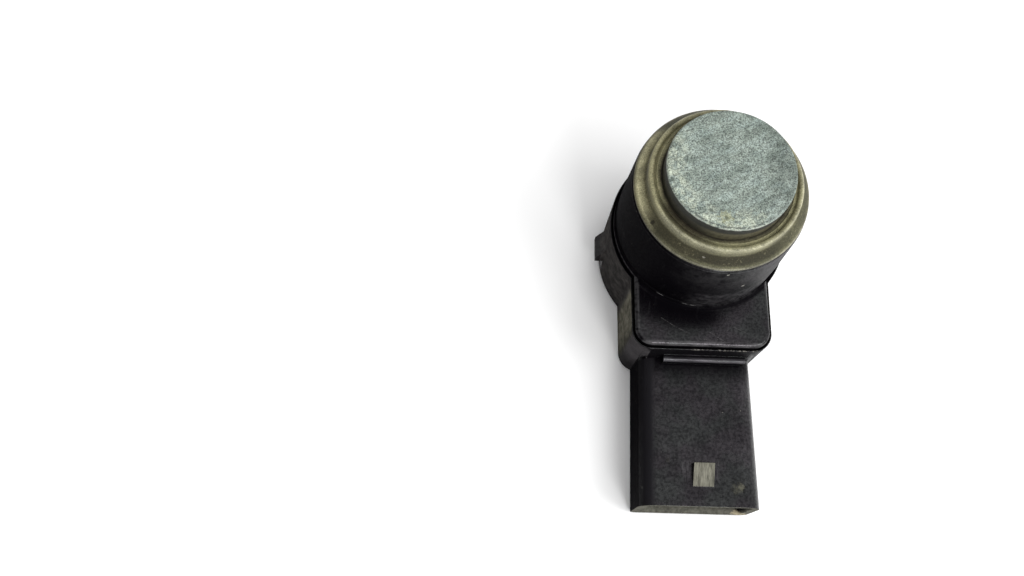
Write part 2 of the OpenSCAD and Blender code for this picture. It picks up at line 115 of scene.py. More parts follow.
class Tree:
    """Short calls for building one material's node tree."""

    def __init__(self, name):
        self.material = bpy.data.materials.new(name)
        self.material.use_nodes = True
        self.nodes = self.material.node_tree.nodes
        self.links = self.material.node_tree.links
        self.shader = self.nodes["Principled BSDF"]
        self.place = self.nodes.new("ShaderNodeTexCoord").outputs["Object"]

    def add(self, kind, **settings):
        node = self.nodes.new(kind)
        for key, value in settings.items():
            setattr(node, key, value)
        return node

    def put(self, socket, value):
        """Links a socket to another one, or sets it to a constant."""
        if isinstance(value, bpy.types.NodeSocket):
            self.links.new(value, socket)
        else:
            socket.default_value = value

    def math(self, operation, a, b=0.0, c=0.0):
        node = self.add("ShaderNodeMath", operation=operation)
        for socket, value in zip(node.inputs, (a, b, c)):
            self.put(socket, value)
        return node.outputs[0]

    def times(self, first, *others):
        """Product of several masks."""
        for other in others:
            first = self.math("MULTIPLY", first, other)
        return first

    def largest(self, first, *others):
        """The largest of several masks."""
        for other in others:
            first = self.math("MAXIMUM", first, other)
        return first

    def less(self, value, mask, share):
        """A value that loses a share of itself where the mask is one."""
        return self.math("MULTIPLY", value, self.math("MULTIPLY_ADD", mask, -share, 1.0))

    def noise(self, size_mm, detail=3.0, roughness=0.55, stretch=(1, 1, 1), turn=0.0):
        """Noise with features of about that size, stretched along the turned axes."""
        place = self.place
        if turn:
            spin = self.add("ShaderNodeVectorRotate", rotation_type="Z_AXIS")
            self.put(spin.inputs["Vector"], place)
            spin.inputs["Angle"].default_value = turn
            place = spin.outputs[0]
        mapping = self.add("ShaderNodeMapping")
        self.put(mapping.inputs["Vector"], place)
        mapping.inputs["Scale"].default_value = [1 / (s * size_mm * MM) for s in stretch]
        node = self.add("ShaderNodeTexNoise")
        self.put(node.inputs["Vector"], mapping.outputs[0])
        node.inputs["Scale"].default_value = 1.0
        node.inputs["Detail"].default_value = detail
        node.inputs["Roughness"].default_value = roughness
        return node.outputs["Fac"]

    def window(self, value, low, high, first=0.0, last=1.0):
        """Maps a stretch of values smoothly from first to last."""
        node = self.add("ShaderNodeMapRange", interpolation_type="SMOOTHSTEP")
        keys = ("Value", "From Min", "From Max", "To Min", "To Max")
        for key, setting in zip(keys, (value, low, high, first, last)):
            self.put(node.inputs[key], setting)
        return node.outputs[0]

    def band(self, value, low, high, soft):
        """One between two values, fading out over a soft margin."""
        rising = self.window(value, low - soft, low)
        falling = self.window(value, high, high + soft, 1.0, 0.0)
        return self.times(rising, falling)

    def ramp(self, value, low, high, stops):
        """Colours along a value: stops are (value, colour) pairs between low and high."""
        scaled = self.add("ShaderNodeMapRange")
        for key, setting in zip(("Value", "From Min", "From Max"), (value, low, high)):
            self.put(scaled.inputs[key], setting)
        node = self.add("ShaderNodeValToRGB")
        elements = node.color_ramp.elements
        while len(elements) < len(stops):
            elements.new(0.5)
        for element, (position, colour) in zip(elements, stops):
            element.position = (position - low) / (high - low)
            element.color = (*colour, 1)
        self.put(node.inputs[0], scaled.outputs[0])
        return node.outputs[0]

    def mix(self, factor, a, b):
        node = self.add("ShaderNodeMix", data_type="RGBA")
        self.put(node.inputs[0], factor)
        for socket, value in ((node.inputs[6], a), (node.inputs[7], b)):
            self.put(socket, (*value, 1) if isinstance(value, tuple) else value)
        return node.outputs[2]

    def shade(self, colour, amount):
        """A colour made darker or lighter by a varying amount."""
        node = self.add("ShaderNodeVectorMath", operation="SCALE")
        self.put(node.inputs[0], colour)
        self.put(node.inputs["Scale"], amount)
        return node.outputs[0]

    def bump(self, height, depth_mm, strength=1.0, normal=None):
        node = self.add("ShaderNodeBump")
        node.inputs["Strength"].default_value = strength
        node.inputs["Distance"].default_value = depth_mm * MM
        self.put(node.inputs["Height"], height)
        if normal is not None:
            self.put(node.inputs["Normal"], normal)
        return node.outputs[0]

    def soft_edges(self, radius_mm):
        node = self.add("ShaderNodeBevel", samples=6)
        node.inputs["Radius"].default_value = radius_mm * MM
        return node.outputs[0]

    def finish(self, colour, roughness, normal=None, metallic=0.0, specular=0.5, tint=None):
        self.put(self.shader.inputs["Base Color"], colour)
        self.put(self.shader.inputs["Roughness"], roughness)
        self.put(self.shader.inputs["Specular IOR Level"], specular)
        self.shader.inputs["Metallic"].default_value = metallic
        if tint is not None:
            self.put(self.shader.inputs["Specular Tint"], tint)
        if normal is not None:
            self.put(self.shader.inputs["Normal"], normal)
        return self.material


class Skin(Tree):
    """A material that changes over the part, with the shaded point's place and a colour that takes layers."""

    def __init__(self, name):
        super().__init__(name)
        scaled = self.add("ShaderNodeVectorMath", operation="SCALE")
        self.put(scaled.inputs[0], self.place)
        scaled.inputs["Scale"].default_value = 1 / MM
        split = self.add("ShaderNodeSeparateXYZ")
        self.put(split.inputs[0], scaled.outputs[0])
        self.x, self.y, self.z = split.outputs
        square_x, square_y = (self.math("MULTIPLY", a, a) for a in (self.x, self.y))
        self.r = self.math("SQRT", self.math("ADD", square_x, square_y))
        self.colour = None

    def cover(self, mask, share, tint):
        """Lays a tint over the colour where the mask is one, as thick as the share."""
        self.colour = self.mix(self.math("MULTIPLY", mask, share), self.colour, tint)

    def towards(self, degrees, low, high):
        """One around the barrel's axis at an angle, which fades in between two cosines of the way to it."""
        angle = math.radians(degrees)
        part_x = self.math("MULTIPLY", self.x, math.cos(angle))
        part_y = self.math("MULTIPLY", self.y, math.sin(angle))
        return self.window(self.math("DIVIDE", self.math("ADD", part_x, part_y), self.r), low, high)

    def facing(self):
        """The three parts of the surface's direction."""
        node = self.add("ShaderNodeSeparateXYZ")
        self.put(node.inputs[0], self.add("ShaderNodeNewGeometry").outputs["Normal"])
        return node.outputs

    def spot(self, at_mm, radius_mm, ragged, wild=3.0):
        """One in a blot around a point, with an edge that a noise makes more or less wildly ragged."""
        node = self.add("ShaderNodeVectorMath", operation="DISTANCE")
        self.put(node.inputs[0], self.place)
        node.inputs[1].default_value = [c * MM for c in at_mm]
        away = self.math("DIVIDE", node.outputs["Value"], radius_mm * MM)
        away = self.math("MULTIPLY_ADD", ragged, wild, self.math("SUBTRACT", away, wild / 2))
        return self.window(away, 0.5, 1.1, 1.0, 0.0)

    def scratch(self, from_mm, to_mm, width_mm):
        """One along a straight line between two points."""
        start = Vector(from_mm) * MM
        way = Vector(to_mm) * MM - start
        off = self.add("ShaderNodeVectorMath", operation="SUBTRACT")
        self.put(off.inputs[0], self.place)
        off.inputs[1].default_value = start
        part = self.add("ShaderNodeVectorMath", operation="DOT_PRODUCT")
        self.put(part.inputs[0], off.outputs[0])
        part.inputs[1].default_value = way / way.length_squared
        on_line = self.math("MINIMUM", self.math("MAXIMUM", part.outputs["Value"], 0.0), 1.0)
        foot = self.add("ShaderNodeVectorMath", operation="SCALE")
        foot.inputs[0].default_value = way
        self.put(foot.inputs["Scale"], on_line)
        gap = self.add("ShaderNodeVectorMath", operation="DISTANCE")
        self.put(gap.inputs[0], off.outputs[0])
        self.put(gap.inputs[1], foot.outputs[0])
        return self.window(gap.outputs["Value"], 0.2 * width_mm * MM, 0.6 * width_mm * MM, 1.0, 0.0)


# Colours of the black plastic and of its wear, as linear red, green and blue
PLASTIC_DARK = (0.0014, 0.0011, 0.0018)
PLASTIC_LIGHT = (0.003, 0.0025, 0.0034)
PLASTIC_SCUFF = (0.04, 0.038, 0.04)
PLASTIC_SPECK = (0.2, 0.19, 0.16)
SHEEN_GREEN = (0.95, 1.0, 0.98)
SHEEN_PURPLE = (1.0, 0.93, 1.0)


def black_plastic(name):
    """Worn black moulded plastic, which dirt can be laid on."""
    t = Skin(name)
    t.across, t.along, t.up = t.facing()
    cloud = t.noise(4.0, detail=5, roughness=0.65)
    t.colour = t.mix(cloud, PLASTIC_DARK, PLASTIC_LIGHT)
    scuff = t.noise(0.5, stretch=(1, 9, 4), turn=math.radians(8))
    scuff = t.times(t.window(scuff, 0.58, 0.72), t.window(cloud, 0.42, 0.62))
    t.cover(scuff, 0.12, PLASTIC_SCUFF)
    specks = t.times(t.window(t.noise(0.3, detail=2), 0.735, 0.77), t.window(t.noise(7.0), 0.45, 0.6))
    t.cover(specks, 0.6, PLASTIC_SPECK)

    # The upright walls are dull, most of all at the left, and the level faces satin and mottled
    steep = t.window(t.math("ABSOLUTE", t.up), 0.5, 0.12)
    t.roughness = t.math("MULTIPLY_ADD", steep, 0.42, t.window(cloud, 0.3, 0.7, 0.14, 0.24))
    mottle = t.window(t.noise(0.34, detail=4, roughness=0.75), 0.34, 0.66, 0.5, 1.45)
    mottle = t.times(mottle, t.window(cloud, 0.3, 0.7, 0.78, 1.15))
    dull = t.math("MULTIPLY_ADD", steep, t.window(t.across, -0.2, 0.6, -0.86, -0.1), 1.0)
    t.gloss = t.times(mottle, t.window(t.across, -0.04, -0.5, 0.3, 0.05), dull)
    t.sheen = t.mix(t.window(t.noise(5.0), 0.4, 0.6), SHEEN_GREEN, SHEEN_PURPLE)
    t.normal = t.bump(t.noise(0.16, detail=2), 0.01, 0.45, t.soft_edges(0.1))
    t.normal = t.bump(scuff, 0.01, 0.4, t.normal)
    return t


# Colours of what lies on the front housing, and of the highlights painted on it
# Paler tones laid on the barrel's front, high up and low down
BARREL_HIGH_PALE = (0.085, 0.083, 0.085)
BARREL_LOW_PALE = (0.075, 0.072, 0.076)
# Painted highlight on two short arcs of the step at the barrel's foot
FOOT_ARC_HIGHLIGHT = (0.14, 0.135, 0.135)
# Painted highlight along the plate's front and left edges
PLATE_EDGE_HIGHLIGHT = (0.085, 0.082, 0.085)
PLATE_SCRATCH = (0.06, 0.058, 0.058)
PALE_CRUMB = (0.3, 0.29, 0.26)

# Scratches on the plate, each from one point to another, and crumbs on the barrel, with their radius
SCRATCH_W = 0.15
SCRATCHES = (
    ((-5.4, -13.0), (-3.7, -14.1)),
    ((-3.7, -14.1), (-2.0, -14.9)),
    ((0.6, -14.6), (2.7, -15.9)),
    ((3.9, -13.9), (5.6, -14.7)),
    ((-0.6, -15.6), (0.9, -15.8)),
)
BARREL_CRUMBS = (
    ((3.59, -10.5, 20.0), 0.24),
    ((0.54, -11.0, 24.7), 0.2),
    ((-8.4, -6.9, 16.5), 0.3),
)


def barrel_tones_and_highlights(t, fine):
    """The barrel's front made paler high and low, its dull step at the foot, and a painted highlight on two
    short arcs of the step's edge.
    """
    # Paler tone on the upper front of the barrel
    high = t.times(t.towards(290, 0.55, 0.97), t.window(t.z, PLATE_Z + 3.4, BARREL_Z - 0.4))
    t.cover(t.times(high, t.window(t.noise(1.6, detail=5, roughness=0.7), 0.3, 0.65)), 0.3, BARREL_HIGH_PALE)

    # The step is dull with dirt, and two short arcs of its edge carry a painted highlight
    foot = t.band(t.r, FOOT_R - 0.15, FOOT_R + 0.55, 0.1)
    foot = t.times(foot, t.band(t.z, PLATE_Z + 0.02, FOOT_Z + 0.1, 0.04))
    t.gloss = t.less(t.gloss, foot, 0.9)
    t.roughness = t.math("MULTIPLY_ADD", foot, 0.45, t.roughness)
    arcs = t.largest(t.towards(240.6, 0.9985, 0.9996), t.towards(260.6, 0.996, 0.9985))
    arcs = t.times(arcs, t.band(t.r, FOOT_R - 0.03, FOOT_R + 0.05, 0.03))
    arcs = t.times(arcs, t.band(t.z, FOOT_Z - 0.07, FOOT_Z + 0.02, 0.03))
    t.cover(t.times(arcs, t.window(fine, 0.36, 0.56)), 0.7, FOOT_ARC_HIGHLIGHT)

    # The barrel's front is made paler low down as well
    low = t.times(t.towards(286, 0.84, 0.97), t.band(t.z, PLATE_Z + 1.0, PLATE_Z + 3.9, 1.0))
    t.cover(t.times(low, t.window(t.noise(0.8, detail=5, roughness=0.7), 0.38, 0.62)), 0.42, BARREL_LOW_PALE)


def plate_light_and_scratches(t, fine):
    """Painted shade on the plate in front of the barrel, made by lowering its gloss, painted highlights along
    its front and left edges, and its fine scratches.
    """
    # Painted shade: the plate's gloss is lowered in front of the barrel
    plate_gloss_shade = t.times(t.towards(256, 0.86, 0.985), t.window(t.r, 15.4, 12.6))
    plate_gloss_shade = t.times(plate_gloss_shade, t.window(t.z, PLATE_Z + 0.15, PLATE_Z + 0.05))
    t.gloss = t.less(t.gloss, plate_gloss_shade, 0.88)

    # Painted highlight along the plate's rounded front and left edges
    front = t.window(t.y, PLATE_Y + 0.72, PLATE_Y + 0.37)
    left = t.window(t.x, PLATE_X + 0.67, PLATE_X + 0.35, 0.0, 0.6)
    edge_glint = t.times(t.band(t.z, PLATE_Z - 0.4, PLATE_Z + 0.02, 0.08), t.largest(front, left))
    highlight_streaks = t.window(t.noise(0.5, detail=4, stretch=(3, 1, 1)), 0.3, 0.62)
    t.cover(t.times(edge_glint, highlight_streaks), 0.6, PLATE_EDGE_HIGHLIGHT)

    marks = t.largest(*(t.scratch((*start, PLATE_Z), (*end, PLATE_Z), SCRATCH_W) for start, end in SCRATCHES))
    t.cover(t.times(marks, t.window(fine, 0.38, 0.58)), 0.5, PLATE_SCRATCH)


def front_plastic():
    t = black_plastic("front_housing_plastic")
    fine = t.noise(0.35, detail=4, roughness=0.7)
    barrel_tones_and_highlights(t, fine)
    plate_light_and_scratches(t, fine)
    for at, size in BARREL_CRUMBS:
        t.cover(t.spot(at, size, fine), 0.7, PALE_CRUMB)
    return t.finish(t.colour, t.roughness, t.normal, specular=t.gloss, tint=t.sheen)


# Colours of what lies on the rear housing, and of the light painted on it
TUB_POWDER = (0.13, 0.121, 0.114)
BLOCK_POWDER = (0.138, 0.131, 0.102)
CORNER_POWDER = (0.085, 0.079, 0.083)
# Painted soft sheen on the shroud's left rounding
SHROUD_PAINTED_SHEEN = (0.023, 0.022, 0.025)
# Painted highlights on the plug stop and on the rim's front edge
STOP_HIGHLIGHT = (0.095, 0.09, 0.1)
RIM_HIGHLIGHT = (0.2, 0.19, 0.17)
LATCH_DULL = (0.072, 0.07, 0.054)
LATCH_WORN = (0.185, 0.18, 0.142)
LATCH_SCUFF = (0.06, 0.057, 0.06)
MUD_DARK = (0.065, 0.064, 0.05)
MUD_PALE = (0.125, 0.122, 0.098)
MUD_YELLOW = (0.46, 0.4, 0.27)
MUD_WHITE = (0.34, 0.34, 0.32)

# Blots of dried mud on the shroud: place, radius, thickness and colour
MUD_BLOTS = (
    ((4.6, -34.0, SHROUD_Z), 0.8, 0.4, (0.07, 0.066, 0.042)),
    ((5.1, -33.7, SHROUD_Z), 0.45, 0.6, (0.13, 0.125, 0.09)),
    ((-7.4, -34.0, SHROUD_Z - 1.1), 0.24, 0.5, (0.1, 0.098, 0.085)),
    ((-4.2, -30.6, SHROUD_Z), 0.4, 0.2, (0.07, 0.066, 0.05)),
)


def wall_dust(t, dust):
    """Dust on the upright walls below the parting line, most of it on the block and at the left."""
    upright = t.times(t.window(t.math("ABSOLUTE", t.up), 0.6, 0.3), t.window(t.across, 0.1, -0.5, 0.3, 1.0))
    reach = t.times(t.window(t.z, RIM_Z + 0.15, RIM_Z - 0.05), t.window(t.z, 0.6, 2.5, 0.7, 1.0))
    reach = t.times(reach, t.window(t.y, BLOCK_Y + 0.35, BLOCK_Y + 3.95))
    off_lugs = t.largest(t.window(t.r, TUB_R + 0.4, TUB_R + 0.6, 1.0, 0.25), t.window(t.y, -5.0, -7.0))
    block = t.times(t.window(t.y, -8.2, -9.4), t.window(t.along, -0.45, -0.15))
    thickness = t.times(t.math("MULTIPLY_ADD", block, 0.6, 0.35), t.window(dust, 0.4, 0.8, 0.35, 0.9))
    wall = t.times(upright, reach, off_lugs, thickness)
    powder = t.mix(block, TUB_POWDER, BLOCK_POWDER)
    t.colour = t.mix(wall, t.colour, t.shade(powder, t.window(t.noise(1.0, detail=4), 0.3, 0.7, 0.6, 1.4)))

    # Less of it lies on the round corner at the block's left front
    corner = t.times(t.window(t.across, -0.02, -0.45), t.window(t.along, -0.1, -0.4))
    corner = t.times(corner, t.window(t.y, BLOCK_Y + 3.45, BLOCK_Y + 2.35))
    corner = t.times(corner, t.window(t.y, BLOCK_Y - 0.2, BLOCK_Y - 0.05))
    corner = t.times(corner, t.window(t.z, RIM_Z, RIM_Z - 0.3), t.window(t.z, 3.0, 7.0, 0.4, 1.0))
    t.cover(t.times(corner, t.window(dust, 0.4, 0.8, 0.5, 1.0)), 0.6, CORNER_POWDER)
    return wall


def shroud_shade(t):
    """Painted shade in front of the plug stop, made by lowering the gloss, the dull left wall, and a painted
    soft sheen on the rounding above that wall.
    """
    # Painted shade: gloss lowered on the shroud's top in front of the plug stop
    clear = t.largest(t.window(t.z, SHROUD_Z + 0.02, SHROUD_Z + 0.1), t.window(t.up, 0.7, 0.4))
    t.gloss = t.times(t.gloss, t.largest(t.window(t.y, STOP_Y - 0.1, STOP_Y - 3.6, 0.15, 1.0), clear))
    shroud = t.window(t.y, BLOCK_Y + 0.05, BLOCK_Y - 0.35)
    left = t.times(t.window(t.across, -0.3, -0.6), shroud)
    kept = t.window(t.y, MOUTH_Y + 2.3, MOUTH_Y + 12.3, 0.75, 0.25)
    t.gloss = t.times(t.gloss, t.window(left, 0.0, 1.0, 1.0, kept))
    # Painted soft sheen on the upper part of the left rounding
    t.cover(t.times(t.window(t.across, -0.1, -0.35), t.window(t.up, 0.25, 0.9), shroud), 0.5, SHROUD_PAINTED_SHEEN)


def painted_edge_highlights(t):
    """Painted highlights, streaked along the plug stop and in spots along the rim's front edge."""
    # Painted highlight streaked along the top of the plug stop
    stop = t.times(t.band(t.y, STOP_Y - 0.05, STOP_Y + 0.5, 0.05), t.window(t.along, 0.1, -0.2))
    stop = t.times(stop, t.band(t.z, SHROUD_Z + 0.8, SHROUD_Z + 1.4, 0.1))
    highlight_streaks = t.window(t.noise(0.3, stretch=(9, 1, 1)), 0.36, 0.6, 0.35, 1.0)
    t.cover(t.times(stop, highlight_streaks), 0.8, STOP_HIGHLIGHT)
    # Painted highlight in spots along the rim's front edge
    rim = t.times(t.band(t.z, RIM_Z - 0.14, RIM_Z + 0.02, 0.05), t.band(t.x, -1.0, 6.8, 1.0))
    rim = t.times(rim, t.band(t.y, BLOCK_Y - 0.05, BLOCK_Y + 0.15, 0.06), t.window(t.noise(0.4), 0.47, 0.62))
    t.cover(rim, 0.8, RIM_HIGHLIGHT)
    return rim


def latch_wear(t, fine):
    """Pale wear on the latch ramp, streaked along the way of the plug, and scuffs beside it."""
    latch = t.times(t.band(t.x, *LATCH_X, 0.05), t.band(t.y, *LATCH_Y, 0.03))
    latch = t.times(latch, t.window(t.z, SHROUD_Z, SHROUD_Z + 0.04), t.window(t.up, 0.5, 0.8))
    streak = t.noise(0.22, stretch=(1, 7, 7))
    worn = t.mix(t.window(streak, 0.32, 0.68), LATCH_DULL, LATCH_WORN)
    t.colour = t.mix(t.times(latch, t.window(fine, 0.2, 0.42, 0.7, 1.0)), t.colour, worn)
    beside = t.largest(t.band(t.x, -2.3, -1.2, 0.2), t.math("MULTIPLY", t.band(t.x, 1.75, 2.3, 0.2), 0.5))
    scuff = t.times(beside, t.band(t.y, -33.0, -30.7, 0.4), t.window(streak, 0.44, 0.66))
    t.cover(t.times(scuff, t.band(t.z, SHROUD_Z - 0.1, SHROUD_Z + 0.04, 0.05)), 0.5, LATCH_SCUFF)
    return latch


def mouth_dirt(t, dust):
    """Dried dirt on the end of the socket and just inside its lower wall."""
    lengthwise = t.math("ABSOLUTE", t.along)
    end = t.times(t.window(t.y, MOUTH_Y + 1.1, MOUTH_Y + 0.4), t.window(lengthwise, 0.3, 0.7))
    lower_wall = t.times(t.band(t.z, 0.9, 2.4, 0.3), t.window(t.up, 0.3, 0.7))
    inside = t.times(t.window(t.y, MOUTH_Y + 2.8, MOUTH_Y + 0.9), lower_wall)
    dirt = t.times(t.largest(end, inside), t.window(dust, 0.4, 0.75, 0.7, 1.0))
    crumb = t.noise(0.7, detail=4, roughness=0.6)
    mud = t.mix(t.window(crumb, 0.3, 0.7), MUD_DARK, MUD_PALE)
    yellow = t.spot((6.6, MOUTH_Y + 0.1, 1.5), 1.1, crumb)
    mud = t.mix(t.math("MULTIPLY", yellow, 0.9), mud, MUD_YELLOW)
    white = t.spot((-5.1, MOUTH_Y + 0.1, 1.6), 0.5, crumb)
    mud = t.mix(t.math("MULTIPLY", white, 0.8), mud, MUD_WHITE)
    t.colour = t.mix(dirt, t.colour, mud)
    return dirt


def rear_plastic():
    t = black_plastic("rear_housing_plastic")
    patch = t.noise(3.2, detail=5, roughness=0.7)
    fine = t.noise(0.35, detail=4, roughness=0.7)
    dust = t.math("MULTIPLY_ADD", fine, 0.5, t.math("MULTIPLY", patch, 0.8))
    wall = wall_dust(t, dust)
    shroud_shade(t)
    rim = painted_edge_highlights(t)
    latch = latch_wear(t, fine)
    dirt = mouth_dirt(t, dust)
    smear = t.noise(0.6, detail=5, roughness=0.7, stretch=(1, 1.5, 1))
    for at, size, share, mud in MUD_BLOTS:
        t.cover(t.times(t.spot(at, size, smear, 2.4), t.window(fine, 0.36, 0.6, 0.3, 1.0)), share, mud)

    # What is dusty, worn or dirty, and the rim's painted highlight, is rough as well
    rough = t.largest(wall, latch, dirt, rim)
    roughness = t.window(rough, 0.0, 0.6, t.roughness, 0.85)
    normal = t.bump(t.times(rough, fine), 0.05, 0.6, t.normal)
    return t.finish(t.colour, roughness, normal, specular=t.gloss, tint=t.sheen)


# Colours of the transducer cup, and of the light and shade painted on it
COAT_DARK = (0.145, 0.178, 0.155)
COAT_LIGHT = (0.23, 0.27, 0.236)
COAT_BLUE = (0.2, 0.245, 0.245)
COAT_WORN = (0.4, 0.435, 0.345)
STAIN_OLIVE = (0.25, 0.25, 0.12)
MARK_DARK = (0.04, 0.05, 0.036)
EDGE_DIRT = (0.045, 0.05, 0.045)
# Painted highlight on the face's edge, and dark dirt with painted shade on the wall below
CUP_EDGE_HIGHLIGHT = (0.38, 0.4, 0.36)
WALL_DARK_DIRT_AND_SHADE = (0.006, 0.0055, 0.0045)
WALL_LIGHT_DIRT_AND_SHADE = (0.026, 0.025, 0.02)
GRIME_CRUST = (0.09, 0.08, 0.045)

# Dark marks on the face: place, radius and thickness
FACE_MARKS = (
    ((-1.1, -6.3, FACE_Z), 0.3, 0.6),
    ((-2.75, -5.4, FACE_Z), 0.3, 0.7),
    ((-7.15, -1.65, FACE_Z), 0.32, 0.7),
    ((-3.2, 2.6, FACE_Z), 1.1, 0.16),
)


def face_coat(t, speckle):
    """Grey coat with slanting smears, worn pale along the left edge and darker at the right."""
    brush = t.noise(0.3, detail=5, roughness=0.75, stretch=(2.6, 1, 1), turn=math.radians(-36))
    cloud = t.noise(2.2, detail=6, roughness=0.7)
    smear = t.noise(1.0, detail=5, roughness=0.7, stretch=(3.2, 1, 1), turn=math.radians(-32))
    t.colour = t.mix(t.window(cloud, 0.36, 0.64), COAT_DARK, COAT_LIGHT)
    t.colour = t.mix(t.window(smear, 0.45, 0.62, 0.0, 0.25), t.colour, COAT_BLUE)
    t.colour = t.shade(t.colour, t.window(smear, 0.34, 0.66, 0.82, 1.18))
    pale = t.times(t.window(t.r, 4.3, 6.8), t.window(t.math("ADD", t.x, t.y), 1.5, -5.0))
    t.cover(t.times(pale, t.window(t.noise(0.9, detail=5, roughness=0.75), 0.42, 0.6)), 0.7, COAT_WORN)
    t.colour = t.shade(t.colour, t.window(t.x, 2.0, 7.5, 1.0, 0.74))
    light = t.math("MULTIPLY_ADD", speckle, 0.72, t.math("MULTIPLY", brush, 0.28))
    t.colour = t.shade(t.colour, t.window(light, 0.36, 0.64, 0.28, 1.72))


def cup_wall(t, ragged):
    """A line of dirt inside the face's front edge, a painted highlight on the edge, and dark dirt with
    painted shade on the wall below it.
    """
    front = t.towards(265, 0.55, 0.9)
    line = t.times(front, t.band(t.r, 7.46, 7.62, 0.06), t.window(t.z, FACE_Z - 0.1, FACE_Z - 0.05))
    t.cover(t.times(line, t.window(ragged, 0.38, 0.5)), 0.75, EDGE_DIRT)
    # The wall below the face is dark with dirt and painted shade, with brown crust lower down, most at the
    # front
    dirt_and_shade = t.mix(t.noise(0.8, detail=4), WALL_DARK_DIRT_AND_SHADE, WALL_LIGHT_DIRT_AND_SHADE)
    crust = t.window(t.math("MULTIPLY_ADD", ragged, 0.6, t.z), FACE_Z - 0.9, FACE_Z - 1.4)
    crust = t.times(crust, t.math("MULTIPLY_ADD", t.towards(288, 0.62, 0.9), 0.75, 0.25))
    crust = t.times(crust, t.window(t.noise(0.5, detail=5, roughness=0.7), 0.3, 0.6, 0.4, 1.0))
    t.cover(t.window(t.z, FACE_Z - 0.2, FACE_Z - 0.3), 0.97, t.mix(crust, dirt_and_shade, GRIME_CRUST))
    # Painted highlight along the face's rounded edge, strongest at the front
    edge = t.times(t.math("MULTIPLY_ADD", front, 0.5, 0.2), t.band(t.z, FACE_Z - 0.36, FACE_Z - 0.16, 0.04))
    t.colour = t.mix(t.times(edge, t.window(ragged, 0.42, 0.56)), t.colour, CUP_EDGE_HIGHLIGHT)


def membrane_coat():
    t = Skin("membrane_coat_worn")
    speckle = t.noise(0.18, roughness=0.75)
    ragged = t.noise(0.5, detail=4, roughness=0.7)
    face_coat(t, speckle)
    t.cover(t.spot((-1.1, -6.2, FACE_Z), 0.85, ragged, 5.0), 0.5, STAIN_OLIVE)
    for at, size, share in FACE_MARKS:
        t.cover(t.spot(at, size, ragged), share, MARK_DARK)
    cup_wall(t, ragged)
    roughness = t.window(speckle, 0.3, 0.7, 0.5, 0.68)
    return t.finish(t.colour, roughness, t.bump(speckle, 0.04, 0.6), specular=0.3)


# Colours of the ring by radius, from the cup's wall over the collar to the lip's edge
# Besides the aged silicone's colour and dirt, they hold painted highlights on the collar's crest and the
# lip's outer edge, and painted shade next to the cup; the front and left sets differ partly by painted light
# and shade
RING_SPAN = (7.6, 11.0)
RING_FRONT_TONES_AND_LIGHT = (
    (7.8, (0.012, 0.01, 0.006)),
    (8.05, (0.055, 0.051, 0.03)),
    (8.35, (0.15, 0.142, 0.08)),
    (8.6, (0.17, 0.162, 0.09)),
    (8.8, (0.2, 0.19, 0.108)),
    (9.06, (0.22, 0.211, 0.127)),
    (9.3, (0.36, 0.347, 0.24)),
    (9.42, (0.27, 0.26, 0.168)),
    (9.6, (0.085, 0.082, 0.045)),
    (9.85, (0.066, 0.064, 0.036)),
    (10.42, (0.07, 0.068, 0.04)),
    (10.6, (0.1, 0.096, 0.058)),
    (10.72, (0.2, 0.194, 0.142)),
)
RING_LEFT_TONES_AND_LIGHT = (
    (7.8, (0.02, 0.018, 0.011)),
    (8.05, (0.17, 0.158, 0.09)),
    (8.35, (0.32, 0.3, 0.175)),
    (8.6, (0.15, 0.14, 0.077)),
    (8.8, (0.22, 0.206, 0.116)),
    (9.06, (0.34, 0.32, 0.19)),
    (9.3, (0.31, 0.29, 0.17)),
    (9.42, (0.18, 0.168, 0.095)),
    (9.6, (0.13, 0.12, 0.066)),
    (9.85, (0.28, 0.262, 0.152)),
    (10.4, (0.48, 0.452, 0.28)),
    (10.72, (0.14, 0.13, 0.076)),
)

# Colours of the dirt on the ring, and of the shade painted on it
COLLAR_FOOT_DIRT = (0.06, 0.056, 0.03)
# Painted shadow on the lip's side
LIP_SIDE_SHADE = (0.014, 0.012, 0.008)
HOLLOW_DIRT = (0.018, 0.016, 0.009)
# Dirt and painted shade at the lower left
LOW_LEFT_DIRT_AND_SHADE = (0.04, 0.037, 0.021)
SAND_GRAIN = (0.23, 0.21, 0.125)
SOIL = (0.024, 0.02, 0.011)
GAP_BROWN = (0.026, 0.019, 0.011)
# Black dirt and painted shade next to the cup
GAP_DIRT_AND_SHADE = (0.014, 0.011, 0.007)

# Single crumbs on the lip: place, radius, thickness and colour
LIP_CRUMBS = (
    ((-8.63, -5.2, 26.4), 0.34, 0.9, (0.014, 0.012, 0.007)),
    ((-2.79, -9.45, 26.5), 0.2, 0.9, (0.45, 0.43, 0.37)),
    ((3.07, -9.22, 26.6), 0.16, 0.8, (0.38, 0.34, 0.25)),
)


